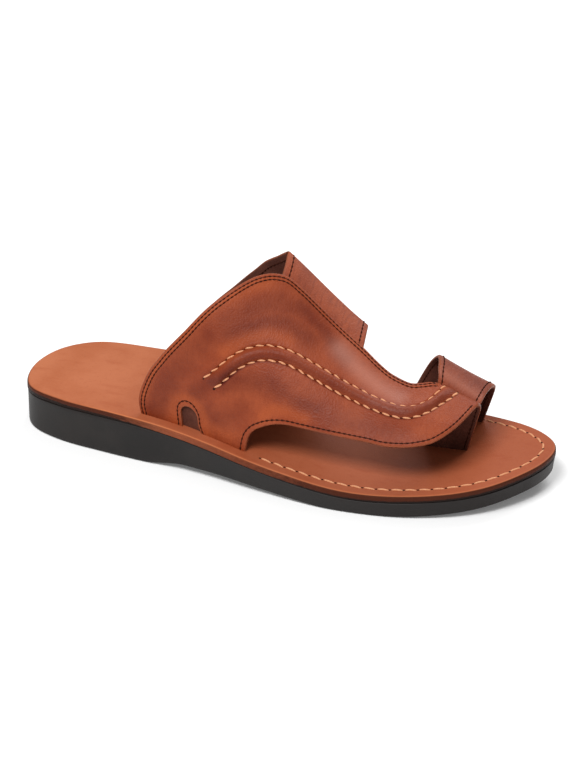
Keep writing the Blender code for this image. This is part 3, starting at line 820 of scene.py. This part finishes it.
def toe_loop(seam):
    _, turns = through(TOE_LOOP, TURN_STEPS)
    length = np.hypot(
        (turns[:, 1] - turns[:, 0]) * LENGTH, (turns[:, 4] - turns[:, 3]) * LOOP_HEIGHT
    )
    near = edge_places(length)[:-1]
    soft = EDGE_SOFT / length
    columns = np.concatenate(
        [
            [share + 0 * length for share in near],
            np.linspace(soft, 1 - soft, 34),
            [1 - share + 0 * length for share in reversed(near)],
        ]
    ).T
    along = turns[:, :1] + (turns[:, 1:2] - turns[:, :1]) * columns
    up = turns[:, 3:4] + (turns[:, 4:5] - turns[:, 3:4]) * columns
    across = seam + FIT_GAP + turns[:, 2:3] * LOOP_SPAN + 0 * along
    face = np.stack([along * LENGTH, across, bed_height(along) + up * LOOP_HEIGHT], axis=-1)
    back = face + WALL * normals_of(face)
    step = np.linalg.norm(np.diff(face, axis=1), axis=2)
    from_back = np.concatenate([0 * length[:, None], np.cumsum(step, axis=1)], axis=1)
    edge = np.minimum(from_back, from_back[:, -1:] - from_back)

    def seated(grid):
        first, last = grid[:1].copy(), grid[-1:].copy()
        if grid.ndim == 3:
            first[0, :, 2] = bed_height(along[0]) - FOOTBED + SLOT_FLOOR
            last[0, :, 2] = bed_height(along[-1]) - FOOTBED + SLOT_FLOOR
        return np.concatenate([first, grid, last])

    face, back = seated(face), seated(back)
    marks = {"edge_mm": seated(edge * 1000)}
    place = np.linspace(0, 1, face.shape[0])[:, None]
    marks["shade"] = 0.12 + 0.3 * np.exp(-(((place - 0.5) / 0.1) ** 2)) + 0 * marks["edge_mm"]
    marks["glow"] = 0 * marks["shade"]
    # painted sheen: a pale stripe across the loop
    marks["painted_sheen"] = 0.06 + 0.22 * np.exp(-(((place - 0.38) / 0.05) ** 2)) + 0 * marks["shade"]
    marks["streak"] = 0.3 + 0 * marks["shade"]
    marks["border_mm"] = marks["edge_mm"]
    return face, back, unit(face - back), -softened(seated(edge)), marks, seated(from_back)


def layers(name, face, back, outward, lift, marks, leather, lining, keep=None):
    """A strap's leather and, under it, its lining."""
    face = face + outward * lift[..., None]
    split = back + outward * LINING
    skin = sheet_object(name, face, split, leather, marks, keep)
    soft = softened(marks["edge_mm"] / 1000, EDGE_SOFT * 0.8)
    under = sheet_object(
        name + "_lining",
        split - outward * GLUE_LINE,
        back + outward * np.minimum(soft, LINING * 0.6)[..., None],
        lining,
        {"edge_mm": marks["border_mm"]},
    )
    return skin, under


# Stitches


def resampled(path, *others, spacing):
    """A path at even spacing, with the numbers that go with its points."""
    step = np.linalg.norm(np.diff(path, axis=0), axis=1)
    at = np.concatenate([[0], np.cumsum(step)])
    count = max(int(round(at[-1] / spacing)), 1)
    want = np.linspace(0, at[-1], count + 1)
    return [np.stack([np.interp(want, at, line[:, k]) for k in range(3)], axis=-1) for line in (path, *others)]


class Stitching:
    """Collects stitches and needle holes, and makes one mesh of each."""

    def __init__(self):
        self.points, self.faces, self.count = [], [], 0
        self.hole_points, self.hole_faces, self.hole_count = [], [], 0

    def row(self, path, normals, pitch, thread, radius, hole, slant=0.0, rise=0.9, ends=(0.0, 1.0)):
        """A row of stitches: pitch from hole to hole, thread its share of that, and slant across the row."""
        steps = 8
        path, normals = resampled(path, normals, spacing=pitch / steps)
        normals = unit(normals)
        total = (len(path) - 1) // steps
        rng = np.random.default_rng(int(abs(path[0].sum()) * 1e6) % 100000)
        for k in range(total):
            share = k / max(total - 1, 1)
            if not ends[0] <= share <= ends[1]:
                continue
            line = path[k * steps : (k + 1) * steps + 1]
            out = normals[k * steps : (k + 1) * steps + 1]
            way = unit(line[-1] - line[0])
            side = unit(np.cross(way, out[steps // 2]))
            free = (1 - thread) / 2
            at = np.linspace(free, 1 - free, 9)
            where = np.stack([np.interp(at, np.linspace(0, 1, steps + 1), line[:, c]) for c in range(3)], axis=-1)
            tilt = slant * (1 + 0.25 * rng.standard_normal())
            bow = np.sin(np.linspace(0, pi, 9)) ** 0.55
            lifted = radius * (rise * (1 + 0.1 * rng.standard_normal()) * bow - 0.75)
            where = where + out[steps // 2] * lifted[:, None]
            where += side * (tilt * (np.linspace(-0.5, 0.5, 9)))[:, None]
            girth = radius * (0.55 + 0.45 * np.sin(np.linspace(0.12, pi - 0.12, 9)) ** 0.5)
            self.tube(where, out[steps // 2], girth)
            self.hole(line[0] + out[0] * 0.00003, out[0], way, hole)
        self.hole(path[total * steps] + normals[-1] * 0.00003, normals[-1], way, hole)

    def tube(self, line, out, girth, sides=8):
        way = unit(np.gradient(line, axis=0))
        side = unit(np.cross(way, out))
        over = unit(np.cross(side, way))
        angle = np.arange(sides) * 2 * pi / sides
        ring = side[:, None] * np.cos(angle)[None, :, None] + over[:, None] * np.sin(angle)[None, :, None]
        points = (line[:, None] + ring * girth[:, None, None]).reshape(-1, 3)
        start, rows = self.count, len(line)
        for i in range(rows - 1):
            for j in range(sides):
                k = (j + 1) % sides
                self.faces.append(
                    (start + i * sides + j, start + i * sides + k, start + (i + 1) * sides + k, start + (i + 1) * sides + j)
                )
        self.faces.append(tuple(start + j for j in reversed(range(sides))))
        self.faces.append(tuple(start + (rows - 1) * sides + j for j in range(sides)))
        self.points.append(points)
        self.count += len(points)

    def hole(self, centre, out, way, radius, sides=10):
        """A low dark dome where the needle went in, its dark colour painted shade of the hole."""
        side = unit(np.cross(way, out))
        angle = np.arange(sides) * 2 * pi / sides
        ring = way * np.cos(angle)[:, None] * 1.25 + side * np.sin(angle)[:, None]
        dome = [centre - out * 0.0004 + ring * radius, centre + out * 0.00002 + ring * radius * 0.9]
        dome.append(centre[None] + out * 0.00008)
        points = np.concatenate(dome)
        start = self.hole_count
        for j in range(sides):
            k = (j + 1) % sides
            self.hole_faces.append((start + j, start + k, start + sides + k, start + sides + j))
            self.hole_faces.append((start + sides + j, start + sides + k, start + 2 * sides))
        self.hole_faces.append(tuple(start + j for j in reversed(range(sides))))
        self.hole_points.append(points)
        self.hole_count += len(points)

    def make(self, name, thread, dark):
        made = [mesh_object(name, np.concatenate(self.points), self.faces, [thread], angle=1.2)]
        made.append(mesh_object(name + "_holes", np.concatenate(self.hole_points), self.hole_faces, [dark], angle=1.2))
        return made


def line_at(grid, from_side, distance):
    """The line of a grid at this distance from its first column, for each row."""
    distance = np.broadcast_to(distance, grid.shape[0])
    return np.array([[np.interp(d, f, row[:, k]) for k in range(3)] for row, f, d in zip(grid, from_side, distance)])


# Sole and footbed


def outline_ring(inset):
    """The footbed's outline, drawn in by `inset`, which is a number or depends on along."""
    turn = np.arange(RING_POINTS) * 2 * (len(OUTLINE) + 1) / RING_POINTS
    along = (1 - np.cos(turn * pi / (len(OUTLINE) + 1))) / 2
    ring = np.stack([along * LENGTH, outline_across(turn)], axis=-1)
    way = np.roll(ring, -1, axis=0) - np.roll(ring, 1, axis=0)
    way /= np.linalg.norm(way, axis=1, keepdims=True)
    drawn_in = (inset(along) if callable(inset) else inset) + 0 * along
    return ring + drawn_in[:, None] * np.stack([way[:, 1], -way[:, 0]], axis=-1)


def slab(name, levels, made, marks_of, top_columns):
    """A closed slab of the sole's outline, with a fine grid on top and underneath."""
    rings = []
    for inset, height in levels:
        ring = outline_ring(inset)
        rings.append(np.column_stack([ring, height(np.clip(ring[:, 0] / LENGTH, 0, 1))]))
    points = [ring for ring in rings]
    faces = []
    count = RING_POINTS
    for k in range(len(levels) - 1):
        for i in range(count):
            j = (i + 1) % count
            faces.append((k * count + i, k * count + j, (k + 1) * count + j, (k + 1) * count + i))
    total = len(levels) * count
    for which, height in ((0, levels[0][1]), (len(levels) - 1, levels[-1][1])):
        ring = rings[which]
        middle = np.arange(1, count // 2)
        share = np.linspace(0, 1, top_columns + 1)[1:-1]
        near, far = ring[middle], ring[count - middle]
        inner = near[:, None] + (far - near)[:, None] * share[None, :, None]
        inner[..., 2] = height(np.clip(inner[..., 0] / LENGTH, 0, 1))
        index = np.empty((len(middle), top_columns + 1), np.int64)
        index[:, 0] = which * count + middle
        index[:, -1] = which * count + count - middle
        index[:, 1:-1] = total + np.arange(inner[..., 0].size).reshape(inner.shape[:2])
        points.append(inner.reshape(-1, 3))
        total += inner.shape[0] * inner.shape[1]
        for a, b in zip(index, index[1:]):
            faces += [(a[c], a[c + 1], b[c + 1], b[c]) for c in range(top_columns)]
        for tip, row in ((which * count, index[0]), (which * count + count // 2, index[-1])):
            faces += [(tip, row[c], row[c + 1]) for c in range(top_columns)]
    points = np.concatenate(points)
    faces = [tuple(int(v) for v in face) for face in faces]
    return mesh_object(name, points, faces, [made], marks_of(points))


def rounded(inset, top, radius, steps=6):
    """Levels of a rounded top edge."""
    made = []
    for angle in np.linspace(0, pi / 2, steps + 1):
        pull, fall = radius * (1 - cos(angle)), radius * (1 - sin(angle))
        made.append((inset + pull, lambda along, fall=fall: top(along) - fall))
    return made


def insole_marks(points):
    along = np.clip(points[:, 0] / LENGTH, 0, 1)
    drop = (bed_height(along) - points[:, 2]) * 1000
    stain = np.interp(along, [0, 0.06, 0.2, 0.32, 0.46, 0.6, 0.8, 1.0], [1.7, 1.9, 2.6, 3.8, 4.0, 3.3, 2.8, 2.6])
    shade = np.interp(along, [0.0, 0.2, 0.35, 1.0], [0.03, 0.12, 0.40, 0.50])
    # how strong the painted highlight along the bevel is, along the length
    shine = np.interp(along, [0.1, 0.25, 0.5, 1.0], [0.0, 0.7, 0.5, 0.3])
    burnish = np.interp(along, [0.0, 0.2, 0.34, 0.5, 0.7], [1.4, 1.2, 0.4, 0.8, 1.3])
    return {"drop_mm": drop, "stain_mm": stain, "shade": shade, "shine": shine, "burnish": burnish}


def outsole_marks(points):
    along = np.clip(points[:, 0] / LENGTH, 0, 1)
    below = bed_height(along) - FOOTBED - points[:, 2]
    band = np.exp(-((below / 0.0012) ** 2)) * np.interp(along, [0.0, 0.25, 0.5], [1.0, 0.8, 0.4])
    # darker towards the toe: painted shade
    band = np.maximum(band, np.interp(along, [0.6, 1.0], [0.0, 0.9]))
    underneath = (points[:, 2] - tread_height(along) < 0.0003).astype(float)
    return {"shade": band, "tread": underneath}


def build():
    leather, lining = strap_leather(), lining_leather()
    tan_thread = thread_material("tan thread", rgb(255, 196, 154), rgb(226, 146, 100), 0.6)
    dark_thread = thread_material("dark thread", rgb(74, 30, 16), rgb(52, 20, 11), 0.7)
    holes = painted_hole_shade()
    made = {}

    top = lambda along: bed_height(along)
    under = lambda along: bed_height(along) - FOOTBED
    levels = [(FIT_GAP, under), (0.0, lambda along: under(along) + FIT_GAP)]
    levels += [(0.0, lambda along: under(along) + 0.0012)]
    levels += rounded(0.0, top, EDGE_ROUND)
    insole = slab("footbed", levels, footbed_leather(), insole_marks, BED_COLUMNS)
    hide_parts("insole")
    made["footbed"] = (insole, "footbed_leather")

    joint = lambda along: bed_height(along) - FOOTBED - FIT_GAP
    foot = [
        (
            lambda along, a=a: sole_taper(along) + SOLE_BEVEL * (1 - sin(a)),
            lambda along, a=a: tread_height(along) + SOLE_BEVEL * (1 - cos(a)),
        )
        for a in np.linspace(0, pi / 2, 6)
    ]
    foot += [
        (
            lambda along, s=s: sole_taper(along) * (1 - s) + FIT_GAP * s,
            lambda along, s=s: (tread_height(along) + SOLE_BEVEL) * (1 - s) + (joint(along) - SOLE_BEVEL * 0.5) * s,
        )
        for s in np.linspace(0, 1, 13)[1:]
    ]
    foot += [(FIT_GAP + SOLE_BEVEL * 0.5, joint)]
    outsole = slab("unit_sole", foot, sole_rubber(), outsole_marks, 24)
    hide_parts("outsole")
    made["unit_sole"] = (outsole, "sole_rubber")

    face, back, outward, lift, marks, keep, seam, columns, length = outer_band()
    skin, under_skin = layers("outer_band", face, back, outward, lift, marks, leather, lining, keep)
    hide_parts("upper")
    made["outer_band"] = (skin, "strap_leather")
    made["outer_band_lining"] = (under_skin, "strap_leather")

    inner_face, inner_back, inner_out, inner_lift, inner_marks, inner_from = inner_band()
    skin, under_skin = layers(
        "inner_band", inner_face, inner_back, inner_out, inner_lift, inner_marks, leather, lining
    )
    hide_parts("upper")
    made["inner_band"] = (skin, "strap_leather")
    made["inner_band_lining"] = (under_skin, "strap_leather")

    loop_face, loop_back, loop_out, loop_lift, loop_marks, loop_from = toe_loop(seam)
    skin, under_skin = layers(
        "toe_loop_leather", loop_face, loop_back, loop_out, loop_lift, loop_marks, leather, lining
    )
    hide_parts("toe_loop")
    made["toe_loop_leather"] = (skin, "strap_leather")
    made["toe_loop_lining"] = (under_skin, "strap_leather")

    # Dark stitches along the cut edges
    dark = Stitching()
    surface = face + outward * lift[..., None]
    step = np.linalg.norm(np.diff(back, axis=1), axis=2)
    from_top = np.concatenate([0 * step[:, :1], np.cumsum(step, axis=1)], axis=1)
    ribs_end = 17 * RIB_STEPS + 2
    for distance in EDGE_ROWS:
        path = line_at(surface, from_top, distance)[1:ribs_end]
        normal = line_at(outward, from_top, distance)[1:ribs_end]
        dark.row(path, normal, 0.0025, 0.68, 0.00040, 0.00028)
    low = from_top[:, -1] - np.interp(np.arange(len(from_top)) / RIB_STEPS, [7, 10], [0.0028, 0.0019])
    path, normal = line_at(surface, from_top, low), line_at(outward, from_top, low)
    dark.row(path[1:ribs_end], normal[1:ribs_end], 0.0028, 0.70, 0.00042, 0.00030)
    inside = line_at(back, from_top, low)[ribs_end + 6 : -1]
    dark.row(inside, -line_at(outward, from_top, low)[ribs_end + 6 : -1], 0.0028, 0.70, 0.00042, 0.00030)

    turn = np.concatenate([np.linspace(0, 1, 12)[:-1], np.linspace(1, 2, 24), np.linspace(2, 3, 12)[1:]])
    straight = NOTCH_HEIGHT - NOTCH_WIDTH / 2
    height = np.where(turn < 1, straight * turn, np.where(turn > 2, straight * (3 - turn), straight))
    angle = pi * (1 - np.clip(turn - 1, 0, 1))
    height = height + (NOTCH_WIDTH / 2 + 0.0030) * np.sin(angle)
    ahead = np.cos(angle)
    sideways = ahead * (NOTCH_WIDTH / 2 + np.where(ahead > 0, 0.0012, 0.0020))
    sideways += NOTCH.flare * np.where(turn > 1.5, np.clip(1 - height / (NOTCH_HEIGHT / 2), 0, 1) ** 2, 0)
    along = NOTCH.along + (sideways - NOTCH_LEAN * height / NOTCH_HEIGHT) / LENGTH
    climb = np.linspace(0, 0.4, 200)
    up = np.array([np.interp(h, last_point(a, climb)[:, 2] - bed_height(a), climb) for a, h in zip(along, height)])
    normal = last_normal(along, up)
    dark.row(last_point(along, up) + normal * WALL, normal, 0.0025, 0.70, 0.00040, 0.00028)

    inner_surface = inner_face + inner_out * inner_lift[..., None]
    for distance in (0.0038 + 0 * inner_from[:, -1], inner_from[:, -1] - 0.0034):
        path, normal = line_at(inner_surface, inner_from, distance), line_at(inner_out, inner_from, distance)
        dark.row(path[:-1], normal[:-1], 0.0026, 0.70, 0.00040, 0.00028)
        path = line_at(inner_back, inner_from, distance)
        dark.row(path[:-1], -normal[:-1], 0.0026, 0.70, 0.00040, 0.00028)
    loop_surface = loop_face + loop_out * loop_lift[..., None]
    for distance in (0.0025 + 0 * loop_from[:, -1], loop_from[:, -1] - 0.0029):
        path, normal = line_at(loop_surface, loop_from, distance), line_at(loop_out, loop_from, distance)
        dark.row(path[40:-1], normal[40:-1], 0.0026, 0.70, 0.00040, 0.00028)
        path = line_at(loop_back, loop_from, distance)
        dark.row(path[2:-1], -normal[2:-1], 0.0026, 0.70, 0.00040, 0.00028)
    for piece in dark.make("edge_stitches", dark_thread, holes):
        made[piece.name] = (piece, "strap_leather")

    # Tan stitches on both sides of the piping
    light = Stitching()
    place, ribs = through(OUTER_BAND, RIB_STEPS)
    middle_from = np.array([np.interp(m, c, f) for m, c, f in zip(ribs[:, 4], columns, from_top[1:ribs_end])])
    for sign, start, over_fold, thread, hole in ((-1, 4.5, 8, 0.00056, 0.0005), (1, 4.6, 4, 0.00062, 0.0008)):
        distance = np.pad(middle_from, (0, over_fold), mode="edge") + sign * CORD_ROWS
        rows = slice(1, ribs_end + over_fold)
        path = line_at(surface[rows], from_top[rows], distance)[int(start * RIB_STEPS) :]
        normal = line_at(outward[rows], from_top[rows], distance)[int(start * RIB_STEPS) :]
        light.row(path, normal, 0.0055, 0.84, thread, hole, slant=0.0011)
    for piece in light.make("piping_stitches", tan_thread, holes):
        made[piece.name] = (piece, "strap_leather")

    # Tan stitches round the front of the footbed
    bed = Stitching()
    ring = outline_ring(0.0066)
    ring = np.roll(ring, -RING_POINTS // 2, axis=0)
    along = ring[:, 0] / LENGTH
    outer = np.arange(RING_POINTS) < RING_POINTS // 2
    front = np.where(outer, along > 0.485, along > 0.52)
    order = np.concatenate([np.flatnonzero(front & ~outer), np.flatnonzero(front & outer)])
    line = ring[order]
    path = np.column_stack([line, bed_height(line[:, 0] / LENGTH)])
    tilt = np.gradient(path[:, 2]) * 0
    normal = np.column_stack([tilt, tilt, tilt + 1.0])
    bed.row(path, normal, 0.0072, 0.82, 0.00054, 0.00062, slant=0.0007)
    for piece in bed.make("footbed_stitches", tan_thread, holes):
        made[piece.name] = (piece, "footbed_leather")

    for piece, slot in made.values():
        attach(piece, "root")
    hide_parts("upper")


# Studio


def area_light(name, place, target, size, power, colour=(1, 1, 1)):
    light = bpy.data.lights.new(name, "AREA")
    light.shape = "RECTANGLE"
    light.size, light.size_y = size
    light.energy = power
    light.color = colour
    obj = bpy.data.objects.new(name, light)
    obj.location = place
    obj.rotation_euler = (Vector(place) - Vector(target)).to_track_quat("Z", "Y").to_euler()
    bpy.context.scene.collection.objects.link(obj)


def studio():
    scene = bpy.context.scene
    azimuth, elevation, distance = radians(20), radians(29.3), 1.81
    back = Vector((sin(azimuth) * cos(elevation), -cos(azimuth) * cos(elevation), sin(elevation)))
    camera = bpy.data.cameras.new("camera")
    camera.lens, camera.sensor_width = 159.375, 36
    view = bpy.data.objects.new("camera", camera)
    view.location = Vector((-0.004, 0.0180, 0.030)) + back * distance
    view.rotation_euler = back.to_track_quat("Z", "Y").to_euler()
    scene.collection.objects.link(view)
    scene.camera = view

    t = Tree("white floor")
    mottle = t.noise(t.place(), 3.0, 2.0, 0.5)
    white = t.finish(t.mix(mottle, (0.90, 0.90, 0.90, 1), (0.92, 0.92, 0.92, 1)), 0.7, Specular_IOR_Level=0.2, Emission_Strength=0.12)
    reach = 6.0
    corners = [(-reach, -reach, 0), (reach, -reach, 0), (reach, reach, 0), (-reach, reach, 0)]
    mesh = bpy.data.meshes.new("floor")
    mesh.from_pydata([(x, y, -0.0002) for x, y, _ in corners], [], [(0, 1, 2, 3)])
    mesh.materials.append(white)
    floor = bpy.data.objects.new("floor", mesh)
    scene.collection.objects.link(floor)

    world = bpy.data.worlds.new("studio")
    world.use_nodes = True
    world.node_tree.nodes["Background"].inputs["Color"].default_value = (1, 1, 1, 1)
    world.node_tree.nodes["Background"].inputs["Strength"].default_value = 0.31
    scene.world = world
    area_light("key", (-0.10, -0.78, 1.28), (0, 0, 0.03), (0.7, 0.6), 20)
    area_light("back", (0.20, 0.95, 0.95), (0, 0, 0.03), (1.1, 0.5), 9)
    scene.view_settings.view_transform = "Standard"
    scene.view_settings.look = "None"


build()
studio()
